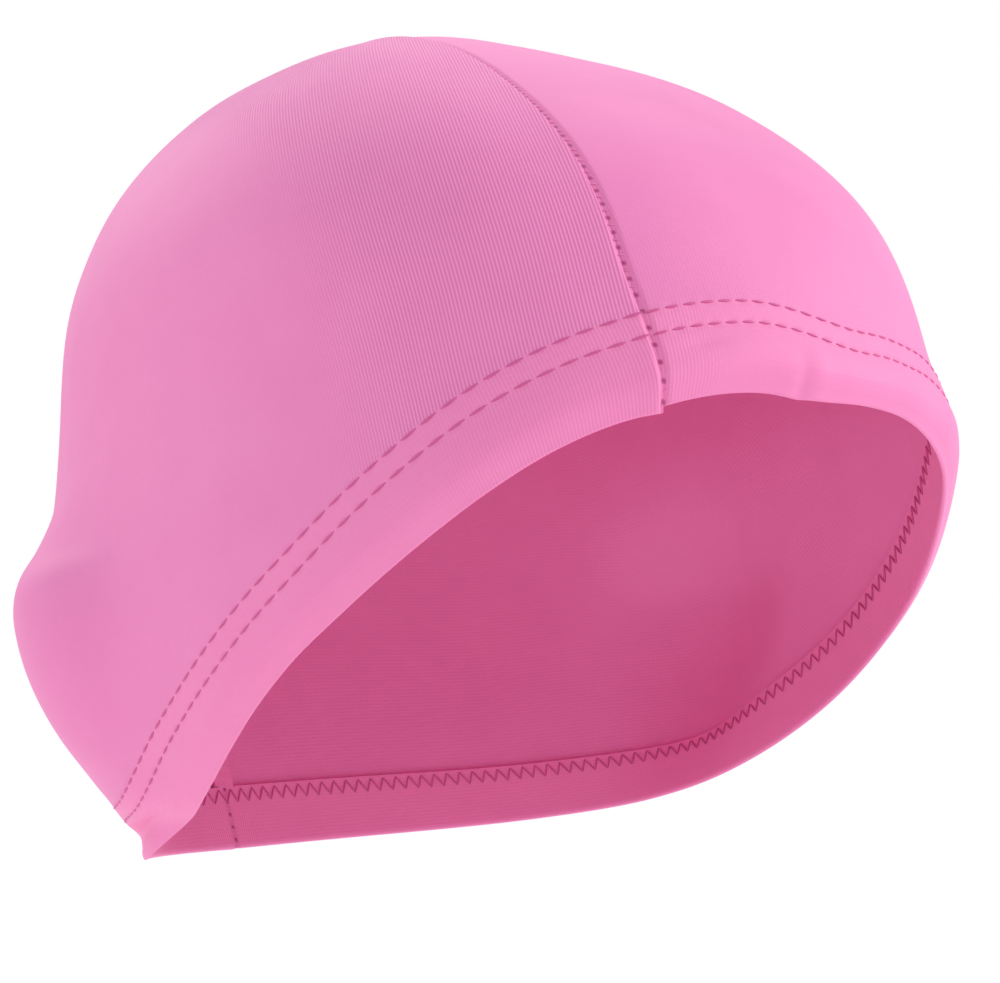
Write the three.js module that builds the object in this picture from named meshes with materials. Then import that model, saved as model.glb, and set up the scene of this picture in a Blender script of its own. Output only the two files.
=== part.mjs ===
// A stretch-fabric swim cap, in the form that it takes when it is worn.
// Millimetres, +Z up. The front faces -Y and the wearer's right side is at -X.
// The origin is the inside of the crown's top, where the cap sits.
import * as THREE from "three";

// Driving dimensions of the worn form, measured on the outside of the cloth.
const HALF_BREADTH = 78; // from the middle to one side, above the ear
const FRONT_REACH = 104; // from the crown's axis to the forehead
const BACK_REACH = 99; // from the crown's axis to the back of the crown
const CROWN_HEIGHT = 97.5; // from the level of the girth to the top
const SQUARENESS = 2.18; // exponent of a level section, where 2 is an ellipse

// Cloth.
const CLOTH = 1.2; // wall of a panel
const HEM_DEPTH = 15; // from the edge up to the upper row of stitches
const HEM_THICKNESS = 2.4; // two layers of cloth and the air that the fold holds
const SEAM_WIDTH = 5; // allowance pressed open inside the seam
const SEAM_THICKNESS = 1.2;
const CLEARANCE = 0.3; // between neighbouring pieces

// The seam lies in an upright plane on the wearer's right of the middle.
const SEAM_OFFSET = 24.5; // from the middle to the seam, beside the crown's axis
const SEAM_TURN = THREE.MathUtils.degToRad(3.5); // the seam runs away from the middle towards the front
const SEAM_SWING = 2.6; // how far its front end swings back towards the middle in the hem
const HEM_TILT = THREE.MathUtils.degToRad(36); // the hem rises from the nape to the forehead
const SWING_FROM = THREE.MathUtils.degToRad(104); // turns down from the hem's axis
const SWING_TO = THREE.MathUtils.degToRad(119);

// The cloth stands out over each ear.
const EAR = {
  out: 11, // how far the cloth stands out
  back: 23, // behind the crown's axis
  low: 20, // below the girth
  halfLength: 22,
  rise: 19,
  fall: 35,
  side: 60, // the swelling is whole from this far out
};
const EAR_ROUNDNESS = 1.3; // above 1 the top of the swelling is flatter than a bell

// Reach of the form in each direction, by the turn down from the top in degrees.
// Each reach is a share of the named size that it follows.
const FORM = [
  { turn: 0, side: 1.0, front: 1.0, back: 1.0 },
  { turn: 20, side: 1.015, front: 0.95, back: 1.0 },
  { turn: 40, side: 1.07, front: 0.945, back: 1.035 },
  { turn: 60, side: 1.085, front: 0.98, back: 1.025 },
  { turn: 80, side: 1.005, front: 0.995, back: 1.01 },
  { turn: 100, side: 1.03, front: 1.005, back: 0.99 },
  { turn: 120, side: 1.03, front: 1.04, back: 1.0 },
  { turn: 140, side: 1.07, front: 1.15, back: 1.08 },
];
const FORM_STEP = FORM[1].turn - FORM[0].turn;
const FORM_COLUMNS = {
  side: FORM.map((row) => row.side),
  front: FORM.map((row) => row.front),
  back: FORM.map((row) => row.back),
};
const SQUARE_FROM = 70; // degrees from the top to where a level section is as square as it gets

// The edge seen from the side: its level above or below the girth, as a share of
// CROWN_HEIGHT, at even steps from the forehead to the back of the crown.
const EDGE_LEVELS = [0.145, -0.06, -0.26, -0.44, -0.57, -0.65, -0.695, -0.725, -0.74];

// The hem's closed section: up is a share of HEM_DEPTH, out a share of
// HEM_THICKNESS from the cloth's outer face. The dip at 0.74 is the lower row of stitches.
const HEM_SECTION = [
  { up: 1.0, out: 0.0 },
  { up: 0.87, out: 0.1 },
  { up: 0.74, out: 0.0 },
  { up: 0.55, out: 0.12 },
  { up: 0.25, out: 0.2 },
  { up: 0.06, out: 0.05 },
  { up: 0.0, out: -0.35 },
  { up: 0.06, out: -0.85 },
  { up: 0.25, out: -1.05 },
  { up: 0.74, out: -1.0 },
  { up: 1.0, out: -1.0 },
];

// How finely the faceted solids follow the form.
const PANEL_STATIONS = 36; // along the hem, from the forehead to the nape
const PANEL_ROWS = 18; // from the hem to the pole at the back of the crown
const HEM_STATIONS = 44;
const CLIMB_STEPS = 24; // straight steps that measure a length up from the edge
const HALVINGS = 40; // of a search for a place on the form
const SLOPE_STEP = 0.05;
const NEARLY_NOTHING = 1e-9;

const GIRTH = CLOTH - CROWN_HEIGHT; // level of the widest section
const UP = new THREE.Vector3(0, 0, 1);
const PANEL_COLOR = 0xf08ac0;
const HEM_COLOR = 0xee78b0;
const SEAM_COLOR = 0xd670a4;

// A value between evenly spaced ones, by a Catmull-Rom spline. before stands for the value
// ahead of the first, and past the last the values run on straight.
function splineAt(values, before, place) {
  const last = values.length - 1;
  const i = THREE.MathUtils.clamp(Math.floor(place), 0, last - 1);
  const f = place - i;
  const a = i === 0 ? before : values[i - 1];
  const [b, c] = [values[i], values[i + 1]];
  const d = i + 2 > last ? 2 * values[last] - values[last - 1] : values[i + 2];
  const bend = (2 * a - 5 * b + 4 * c - d) * f * f;
  return 0.5 * (2 * b + (c - a) * f + bend + (3 * b - a - 3 * c + d) * f ** 3);
}

// The form's reach at a turn down from the top, where it is level.
function reachAt(name, turn) {
  return splineAt(FORM_COLUMNS[name], FORM_COLUMNS[name][1], turn / FORM_STEP);
}

// How far the cloth stands out sideways over the ears.
function earSwell(p) {
  const along = (p.y - EAR.back) / EAR.halfLength;
  const level = p.z - GIRTH + EAR.low;
  const up = level / (level > 0 ? EAR.rise : EAR.fall);
  const share = Math.min(Math.abs(p.x) / EAR.side, 1);
  return EAR.out * Math.exp(-((along * along + up * up) ** EAR_ROUNDNESS)) * share;
}

// A point's distance from the form's centre as a share of the form's reach that way:
// 1 on the outer face of the cloth.
function level(p) {
  const x = Math.max(Math.abs(p.x) - earSwell(p), 0) / HALF_BREADTH;
  const y = Math.abs(p.y) / (p.y < 0 ? FRONT_REACH : BACK_REACH);
  const z = (p.z - GIRTH) / CROWN_HEIGHT;
  const flat = Math.hypot(x, y);
  if (flat < NEARLY_NOTHING) return Math.abs(z);
  const turn = THREE.MathUtils.radToDeg(Math.atan2(flat, z));
  const n = 2 + (SQUARENESS - 2) * THREE.MathUtils.smoothstep(turn, 0, SQUARE_FROM);
  const sideways = x / flat / reachAt("side", turn);
  const lengthways = y / flat / reachAt(p.y < 0 ? "front" : "back", turn);
  return Math.hypot(flat, z) * (sideways ** n + lengthways ** n) ** (1 / n);
}

// The outward normal of the form at a point of it.
function normalAt(p) {
  const slope = (name) => {
    const ahead = p.clone();
    const behind = p.clone();
    ahead[name] += SLOPE_STEP;
    behind[name] -= SLOPE_STEP;
    return level(ahead) - level(behind);
  };
  return new THREE.Vector3(slope("x"), slope("y"), slope("z")).normalize();
}

// The seam's plane: along runs level from front to back in it, across points to the wearer's left.
const along = new THREE.Vector3(Math.sin(SEAM_TURN), Math.cos(SEAM_TURN), 0);
const across = new THREE.Vector3(Math.cos(SEAM_TURN), -Math.sin(SEAM_TURN), 0);
// The hem's axis leans back in that plane, and forward is square to it.
const axis = UP.clone()
  .multiplyScalar(Math.cos(HEM_TILT))
  .addScaledVector(along, Math.sin(HEM_TILT));
const forward = UP.clone()
  .multiplyScalar(Math.sin(HEM_TILT))
  .addScaledVector(along, -Math.cos(HEM_TILT));

// The place on the outer face that is seen from inside the form in a direction: down is the turn
// from the hem's axis, around the turn from the forehead to the given side (1 for the wearer's
// left, -1 for the right) and shift moves the look-out off the seam's plane.
function onForm(side, shift, around, down) {
  const from = new THREE.Vector3(-SEAM_OFFSET, 0, GIRTH).addScaledVector(across, shift);
  const inHem = THREE.MathUtils.smoothstep(down, SWING_FROM, SWING_TO);
  const swing = (SEAM_SWING / FRONT_REACH) * inHem * ((1 + Math.cos(around)) / 2) ** 4;
  const turn = side * around + swing;
  const way = axis
    .clone()
    .multiplyScalar(Math.cos(down))
    .addScaledVector(forward, Math.sin(down) * Math.cos(turn))
    .addScaledVector(across, Math.sin(down) * Math.sin(turn));
  let near = 0;
  let far = 3 * CROWN_HEIGHT;
  for (let i = 0; i < HALVINGS; i++) {
    const middle = (near + far) / 2;
    if (level(from.clone().addScaledVector(way, middle)) < 1) near = middle;
    else far = middle;
  }
  return from.addScaledVector(way, near);
}

// The level of the edge at a distance behind the crown's axis.
function edgeLevel(y) {
  const share = (y + FRONT_REACH) / (FRONT_REACH + BACK_REACH);
  const place = THREE.MathUtils.clamp(share, 0, 1) * (EDGE_LEVELS.length - 1);
  const before = 2 * EDGE_LEVELS[0] - EDGE_LEVELS[1];
  return GIRTH + splineAt(EDGE_LEVELS, before, place) * CROWN_HEIGHT;
}

// The turn down from the hem's axis to the edge, at a turn around it.
function edgeTurn(side, shift, around) {
  let above = 0;
  let below = Math.PI;
  for (let i = 0; i < HALVINGS; i++) {
    const middle = (above + below) / 2;
    const p = onForm(side, shift, around, middle);
    if (p.z > edgeLevel(p.y)) above = middle;
    else below = middle;
  }
  return above;
}

// The turn down to the place that lies a length up the cloth from the edge.
function turnAbove(side, shift, around, length) {
  let down = edgeTurn(side, shift, around);
  if (length === 0) return down;
  const step = (2 * length) / CLIMB_STEPS / CROWN_HEIGHT;
  let climbed = 0;
  let p = onForm(side, shift, around, down);
  for (;;) {
    const next = onForm(side, shift, around, down - step);
    const gained = next.distanceTo(p);
    if (climbed + gained >= length) return down - (step * (length - climbed)) / gained;
    climbed += gained;
    down -= step;
    p = next;
  }
}

// A closed body between an outer and an inner sheet of points in matching rows. A row of one
// point is a pole.
function closedBody(outerRows, innerRows, color) {
  const points = [];
  const index = [];
  const place = (rows) => rows.map((row) => row.map((p) => points.push(p) - 1));
  const outer = place(outerRows);
  const inner = place(innerRows);
  const quad = (a, b, c, d) => {
    if (a !== b) index.push(a, b, c);
    if (c !== d) index.push(a, c, d);
  };
  const at = (row, j) => row[Math.min(j, row.length - 1)];
  for (let i = 0; i + 1 < outer.length; i++)
    for (let j = 0; j + 1 < outer[0].length; j++) {
      const corners = [[i, j], [i, j + 1], [i + 1, j + 1], [i + 1, j]];
      quad(...corners.map(([r, k]) => at(outer[r], k)));
      quad(...corners.reverse().map(([r, k]) => at(inner[r], k)));
    }
  const rim = (rows) => {
    const first = rows[0];
    const last = rows[rows.length - 1];
    const loop = [...first];
    for (let i = 1; i < rows.length; i++) loop.push(rows[i][rows[i].length - 1]);
    loop.push(...last.slice(0, -1).reverse());
    for (let i = rows.length - 2; i > 0; i--) loop.push(rows[i][0]);
    return loop;
  };
  const outside = rim(outer);
  const inside = rim(inner);
  outside.forEach((a, i) => {
    const j = (i + 1) % outside.length;
    quad(outside[j], a, inside[i], inside[j]);
  });
  return solidMesh(points, index, color);
}

// A mesh of the given faces, turned so that they point out.
function solidMesh(points, index, color) {
  let volume = 0;
  for (let i = 0; i < index.length; i += 3) {
    const [a, b, c] = [0, 1, 2].map((k) => points[index[i + k]]);
    volume += a.dot(b.clone().cross(c));
  }
  const faces = volume < 0 ? index.slice().reverse() : index;
  const geometry = new THREE.BufferGeometry().setFromPoints(points).setIndex(faces);
  geometry.computeVertexNormals();
  const material = new THREE.MeshStandardMaterial({ color, roughness: 0.6, metalness: 0 });
  return new THREE.Mesh(geometry, material);
}

// A side's knit panel, from the top of the hem to the seam.
function crownPanel(side) {
  const shift = (side * CLEARANCE) / 2;
  const outer = [];
  const inner = [];
  for (let row = 0; row <= PANEL_ROWS; row++) {
    const share = 1 - row / PANEL_ROWS;
    const count = row === PANEL_ROWS ? 0 : PANEL_STATIONS;
    const points = [];
    for (let station = 0; station <= count; station++) {
      const around = (Math.PI * station) / PANEL_STATIONS;
      const top = turnAbove(side, shift, around, HEM_DEPTH + CLEARANCE);
      points.push(onForm(side, shift, around, top * share));
    }
    outer.push(points);
    inner.push(points.map((p) => p.clone().addScaledVector(normalAt(p), -CLOTH)));
  }
  return closedBody(outer, inner, PANEL_COLOR);
}

// A side's turned double hem, from the forehead round the ear to the nape.
function hem(side) {
  const shift = (side * CLEARANCE) / 2;
  const points = [];
  const index = [];
  const count = HEM_SECTION.length;
  for (let station = 0; station <= HEM_STATIONS; station++) {
    const around = (Math.PI * station) / HEM_STATIONS;
    for (const { up, out } of HEM_SECTION) {
      const p = onForm(side, shift, around, turnAbove(side, shift, around, up * HEM_DEPTH));
      points.push(p.clone().addScaledVector(normalAt(p), out * HEM_THICKNESS));
    }
  }
  for (let station = 0; station < HEM_STATIONS; station++)
    for (let k = 0; k < count; k++) {
      const [a, b] = [k, (k + 1) % count].map((j) => station * count + j);
      index.push(a, b, b + count, a, b + count, a + count);
    }
  const section = HEM_SECTION.map(
    ({ up, out }) => new THREE.Vector2(up * HEM_DEPTH, out * HEM_THICKNESS),
  );
  const last = HEM_STATIONS * count;
  for (const [a, b, c] of THREE.ShapeUtils.triangulateShape(section, []))
    index.push(c, b, a, a + last, b + last, c + last);
  return solidMesh(points, index, HEM_COLOR);
}

// The seam's allowance, a narrow strip against the inside of both panels from hem to hem.
function crownSeam() {
  const depth = CLOTH + CLEARANCE;
  const outer = [];
  const inner = [];
  const sides = [-SEAM_WIDTH / 2, 0, SEAM_WIDTH / 2];
  for (let i = -PANEL_ROWS; i <= PANEL_ROWS; i++) {
    const around = i < 0 ? 0 : Math.PI;
    const share = Math.abs(i) / PANEL_ROWS;
    const row = sides.map((shift) => {
      const top = turnAbove(1, shift, around, HEM_DEPTH + CLEARANCE);
      return onForm(1, shift, around, top * share);
    });
    outer.push(row.map((p) => p.clone().addScaledVector(normalAt(p), -depth)));
    inner.push(row.map((p) => p.clone().addScaledVector(normalAt(p), -depth - SEAM_THICKNESS)));
  }
  return closedBody(outer, inner, SEAM_COLOR);
}

const cap = new THREE.Group();
cap.name = "swim_cap";
for (const [name, make] of [
  ["crown_panel_right", () => crownPanel(-1)],
  ["crown_panel_left", () => crownPanel(1)],
  ["hem_right", () => hem(-1)],
  ["hem_left", () => hem(1)],
  ["crown_seam", crownSeam],
]) {
  const mesh = make();
  mesh.name = name;
  cap.add(mesh);
}

export default cap;
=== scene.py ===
"""A pink stretch-knit swim cap in the form that it takes when it is worn.

Two knit panels meet in one crown seam, and a turned double hem with two rows of twin-needle
stitches runs round the opening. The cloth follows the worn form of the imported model; lengths
are in millimetres until a mesh is made, which is in metres.
"""

import logging
import math
from dataclasses import dataclass, field
from enum import Enum

import bmesh
import bpy
import numpy as np
from mathutils import Matrix, Vector


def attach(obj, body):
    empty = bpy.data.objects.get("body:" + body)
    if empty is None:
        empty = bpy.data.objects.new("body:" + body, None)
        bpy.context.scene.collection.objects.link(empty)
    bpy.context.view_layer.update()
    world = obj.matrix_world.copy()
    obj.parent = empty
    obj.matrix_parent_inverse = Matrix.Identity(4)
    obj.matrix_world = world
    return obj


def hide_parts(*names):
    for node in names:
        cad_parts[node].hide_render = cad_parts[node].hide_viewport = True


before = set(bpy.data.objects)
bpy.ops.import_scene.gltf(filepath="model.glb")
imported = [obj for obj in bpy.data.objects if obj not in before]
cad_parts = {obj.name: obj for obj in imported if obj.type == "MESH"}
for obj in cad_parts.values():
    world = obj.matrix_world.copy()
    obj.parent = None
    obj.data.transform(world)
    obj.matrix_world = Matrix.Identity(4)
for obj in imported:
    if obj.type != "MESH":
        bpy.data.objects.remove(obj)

Values = np.ndarray

LOG = logging.getLogger("swim_cap")
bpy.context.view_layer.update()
MM = 0.001
ROOT = "root"
KNIT_MAP = "knit"
SEAM_MAP = "seam"
NEARLY_NOTHING = 1e-9
# Points of a mesh that lie closer than this, in millimetres, are one.
WELD = 0.001
SHARP = math.radians(50.0)


class Side(Enum):
    """The wearer's side that a piece lies on. Its value is the sign of x there."""

    RIGHT = -1
    LEFT = 1

    @property
    def label(self) -> str:
        """The side's name in a piece's name."""
        return self.name.lower()


class SeamEnd(Enum):
    """The two halves of the crown seam. Its value is the turn round the hem's axis."""

    FRONT = 0.0
    NAPE = math.pi


def smoothstep(value: Values, low: float, high: float) -> Values:
    """Rise smoothly from 0 at low to 1 at high.

    Args:
        value: Where the step is read.
        low: The step's start.
        high: The step's end.

    Returns:
        The step at each value.
    """
    share = np.clip((value - low) / (high - low), 0.0, 1.0)
    return share * share * (3.0 - 2.0 * share)


def spline_at(row: tuple[float, ...], before: float, place: Values) -> Values:
    """Read a Catmull-Rom spline through evenly spaced values.

    Args:
        row: The values at 0, 1, 2 and so on.
        before: The value that stands ahead of the first.
        place: Where the spline is read. Past the last value it runs on straight.

    Returns:
        The spline at each place.
    """
    known = np.array([before, *row, 2.0 * row[-1] - row[-2]])
    i = np.clip(np.floor(place).astype(int), 0, len(row) - 2)
    f = place - i
    a, b, c, d = (known[i + k] for k in range(4))
    bend = (2.0 * a - 5.0 * b + 4.0 * c - d) * f * f
    return 0.5 * (2.0 * b + (c - a) * f + bend + (3.0 * b - a - 3.0 * c + d) * f**3)


def table_at(table: Values, column: Values, row: Values) -> Values:
    """Read a table between its entries.

    Args:
        table: The values by column and row.
        column: The column, with its fraction.
        row: The row, with its fraction.

    Returns:
        The value at each pair of places.
    """
    i = np.clip(np.floor(column).astype(int), 0, table.shape[0] - 2)
    j = np.clip(np.floor(row).astype(int), 0, table.shape[1] - 2)
    f, g = column - i, row - j
    near = table[i, j] * (1.0 - g) + table[i, j + 1] * g
    far = table[i + 1, j] * (1.0 - g) + table[i + 1, j + 1] * g
    return near * (1.0 - f) + far * f


@dataclass(frozen=True)
class EarSwell:
    """The cloth stands out over each ear."""

    out: float = 11.0
    back: float = 23.0
    low: float = 20.0
    half_length: float = 22.0
    rise: float = 19.0
    fall: float = 35.0
    side: float = 60.0
    roundness: float = 1.3

    def at(self, points: Values, girth: float) -> Values:
        """Say how far the cloth stands out sideways at some points of the form.

        Args:
            points: Places on the form.
            girth: The level of the widest section.

        Returns:
            The swelling at each point.
        """
        along = (points[..., 1] - self.back) / self.half_length
        level = points[..., 2] - girth + self.low
        up = level / np.where(level > 0, self.rise, self.fall)
        share = np.minimum(np.abs(points[..., 0]) / self.side, 1.0)
        return self.out * np.exp(-((along * along + up * up) ** self.roundness)) * share


@dataclass(frozen=True)
class HemBends:
    """How the edge and the rows of stitches wander from their even course on one side.

    Each pair is a length along the hem and a lift, both in millimetres.
    """

    edge: tuple[tuple[float, float], ...]
    rows: tuple[tuple[float, float], ...]
    row_height: float = 11.1
    hem_depth: float = 15.0
    fade: float = 32.0

    def lift(self, along: Values, height: Values) -> Values:
        """Give how far a place is lifted along the cloth.

        Args:
            along: The length along the hem.
            height: The even length up from the edge.

        Returns:
            The lift of each place.
        """
        edge, rows = (self.eased(pairs, along) for pairs in (self.edge, self.rows))
        share = np.clip(height / self.row_height, 0.0, 1.0)
        gone = smoothstep(height, self.hem_depth, self.hem_depth + self.fade)
        return (edge * (1.0 - share) + rows * share) * (1.0 - gone)

    @staticmethod
    def eased(pairs: tuple[tuple[float, float], ...], along: Values) -> Values:
        """Ease from each pair's lift to the next.

        Args:
            pairs: Lengths along the hem and their lifts.
            along: Where the lift is read.

        Returns:
            The lift there.
        """
        places = np.array([place for place, _ in pairs])
        lifts = np.array([lift for _, lift in pairs])
        i = np.clip(np.searchsorted(places, along, side="right") - 1, 0, len(places) - 2)
        width = places[i + 1] - places[i]
        t = np.clip((along - places[i]) / width, 0.0, 1.0)
        slopes = np.gradient(lifts, places)
        slopes[0] = slopes[-1] = 0.0
        start, end = lifts[i], lifts[i + 1]
        rise, fall = slopes[i] * width, slopes[i + 1] * width
        bend = 3.0 * (end - start) - 2.0 * rise - fall
        return start + t * (rise + t * (bend + t * (2.0 * (start - end) + rise + fall)))


BENDS: dict[Side, HemBends] = {
    Side.RIGHT: HemBends(
        edge=(
            (0.0, -0.4), (5.0, 0.2), (19.0, 0.8), (34.0, 0.4), (45.0, 0.0), (66.0, 0.0), (85.0, 0.9),
            (102.0, 1.2), (115.0, 0.8), (129.0, 0.0), (146.0, -1.0), (164.0, -2.2), (190.0, -1.0),
            (215.0, 0.0), (238.0, 0.0),
        ),
        rows=(
            (0.0, 0.9), (15.0, 1.4), (30.0, 1.4), (45.0, 0.4), (57.0, -0.3), (70.0, -0.9), (90.0, -0.6),
            (110.0, -0.1), (126.0, -0.3), (142.0, -1.7), (157.0, -2.8), (175.0, -2.2), (205.0, -0.4),
            (238.0, 0.0),
        ),
    ),
    Side.LEFT: HemBends(
        edge=(
            (0.0, 0.6), (6.0, 0.5), (14.0, 0.1), (20.0, -0.5), (26.0, -1.5), (46.0, -1.3), (58.0, -0.4),
            (72.0, 0.5), (90.0, 0.9), (120.0, 0.2), (150.0, 0.0), (337.0, 0.0),
        ),
        rows=(
            (0.0, 0.9), (12.0, 0.5), (20.0, 0.0), (27.0, -1.2), (34.0, -2.8), (40.0, -3.7), (50.0, -3.1),
            (58.0, -2.3), (67.0, -0.8), (80.0, 0.2), (100.0, 0.0), (337.0, 0.0),
        ),
    ),
}


@dataclass(frozen=True)
class WornForm:
    """The outer face of the cloth over a head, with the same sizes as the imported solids."""

    half_breadth: float = 78.0
    front_reach: float = 104.0
    back_reach: float = 99.0
    crown_height: float = 97.5
    squareness: float = 2.18
    square_from: float = 70.0
    cloth: float = 1.2
    clearance: float = 0.3
    hem_depth: float = 15.0
    hem_thickness: float = 2.4
    seam_offset: float = 24.5
    seam_turn: float = math.radians(3.5)
    seam_swing: float = 2.6
    hem_tilt: float = math.radians(36.0)
    swing_from: float = math.radians(104.0)
    swing_to: float = math.radians(119.0)
    reach_step: float = 20.0
    side_reaches: tuple[float, ...] = (1.0, 1.015, 1.07, 1.085, 1.005, 1.03, 1.03, 1.07)
    front_reaches: tuple[float, ...] = (1.0, 0.95, 0.945, 0.98, 0.995, 1.005, 1.04, 1.15)
    back_reaches: tuple[float, ...] = (1.0, 1.0, 1.035, 1.025, 1.01, 0.99, 1.0, 1.08)
    edge_levels: tuple[float, ...] = (0.145, -0.06, -0.26, -0.44, -0.57, -0.65, -0.695, -0.725, -0.74)
    ear: EarSwell = EarSwell()
    halvings: int = 30
    slope_step: float = 0.05

    @property
    def girth(self) -> float:
        """The level of the widest section."""
        return self.cloth - self.crown_height

    @property
    def along(self) -> Values:
        """The level direction in the seam's plane, from front to back."""
        return np.array([math.sin(self.seam_turn), math.cos(self.seam_turn), 0.0])

    @property
    def across(self) -> Values:
        """The level direction square to the seam's plane, to the wearer's left."""
        return np.array([math.cos(self.seam_turn), -math.sin(self.seam_turn), 0.0])

    @property
    def axis(self) -> Values:
        """The hem's axis, which leans back in the seam's plane."""
        return np.array([0.0, 0.0, math.cos(self.hem_tilt)]) + self.along * math.sin(self.hem_tilt)

    @property
    def forward(self) -> Values:
        """The direction square to the hem's axis that points to the forehead."""
        return np.array([0.0, 0.0, math.sin(self.hem_tilt)]) - self.along * math.cos(self.hem_tilt)

    def level(self, points: Values) -> Values:
        """Give each point's distance from the form's centre as a share of the form's reach.

        Args:
            points: Places in the part's frame.

        Returns:
            The share at each point, which is 1 on the outer face of the cloth.
        """
        swell = self.ear.at(points, self.girth)
        x = np.maximum(np.abs(points[..., 0]) - swell, 0.0) / self.half_breadth
        ahead = points[..., 1] < 0
        y = np.abs(points[..., 1]) / np.where(ahead, self.front_reach, self.back_reach)
        z = (points[..., 2] - self.girth) / self.crown_height
        flat = np.maximum(np.hypot(x, y), NEARLY_NOTHING)
        turn = np.degrees(np.arctan2(flat, z))
        n = 2.0 + (self.squareness - 2.0) * smoothstep(turn, 0.0, self.square_from)
        rows = (self.side_reaches, self.front_reaches, self.back_reaches)
        side, front, back = (spline_at(row, row[1], turn / self.reach_step) for row in rows)
        sideways = x / flat / side
        lengthways = y / flat / np.where(ahead, front, back)
        return np.hypot(flat, z) * (sideways**n + lengthways**n) ** (1.0 / n)

    def normal(self, points: Values) -> Values:
        """Give the outward normals of the form.

        Args:
            points: Places on the form.

        Returns:
            One unit vector for each point.
        """
        steps = np.eye(3) * self.slope_step
        slopes = np.stack([self.level(points + step) - self.level(points - step) for step in steps], axis=-1)
        return slopes / np.linalg.norm(slopes, axis=-1, keepdims=True)

    def place(self, side: Side, shift: Values | float, around: Values, down: Values) -> Values:
        """Find the places on the outer face that are seen from inside the form.

        Args:
            side: The side that the turn round the axis goes to.
            shift: How far the look-out is moved off the seam's plane.
            around: The turn round the hem's axis, from the forehead.
            down: The turn down from the hem's axis.

        Returns:
            One place for each direction.
        """
        around, down, shift = np.broadcast_arrays(around, down, shift)
        start = np.array([-self.seam_offset, 0.0, self.girth]) + shift[..., None] * self.across
        in_hem = smoothstep(down, self.swing_from, self.swing_to)
        swing = self.seam_swing / self.front_reach * in_hem * ((1.0 + np.cos(around)) / 2.0) ** 4
        turn = side.value * around + swing
        way = np.cos(down)[..., None] * self.axis
        way = way + (np.sin(down) * np.cos(turn))[..., None] * self.forward
        way = way + (np.sin(down) * np.sin(turn))[..., None] * self.across
        near = np.zeros(down.shape)
        far = np.full(down.shape, 3.0 * self.crown_height)
        for _ in range(self.halvings):
            middle = (near + far) / 2.0
            inside = self.level(start + way * middle[..., None]) < 1.0
            near, far = np.where(inside, middle, near), np.where(inside, far, middle)
        return start + way * near[..., None]

    def edge_level(self, y: Values) -> Values:
        """Give the level of the edge at a distance behind the crown's axis.

        Args:
            y: The distance behind the axis, which is negative ahead of it.

        Returns:
            The edge's level.
        """
        share = np.clip((y + self.front_reach) / (self.front_reach + self.back_reach), 0.0, 1.0)
        before = 2.0 * self.edge_levels[0] - self.edge_levels[1]
        levels = spline_at(self.edge_levels, before, share * (len(self.edge_levels) - 1))
        return self.girth + levels * self.crown_height

    def edge_turn(self, side: Side, shift: float, around: Values) -> Values:
        """Find the turn down from the hem's axis to the edge.

        Args:
            side: The side that the turn round the axis goes to.
            shift: How far the look-out is moved off the seam's plane.
            around: The turn round the hem's axis.

        Returns:
            The turn down at each turn round.
        """
        above = np.zeros(around.shape)
        below = np.full(around.shape, math.pi)
        for _ in range(self.halvings):
            middle = (above + below) / 2.0
            points = self.place(side, shift, around, middle)
            higher = points[..., 2] > self.edge_level(points[..., 1])
            above, below = np.where(higher, middle, above), np.where(higher, below, middle)
        return above


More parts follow.
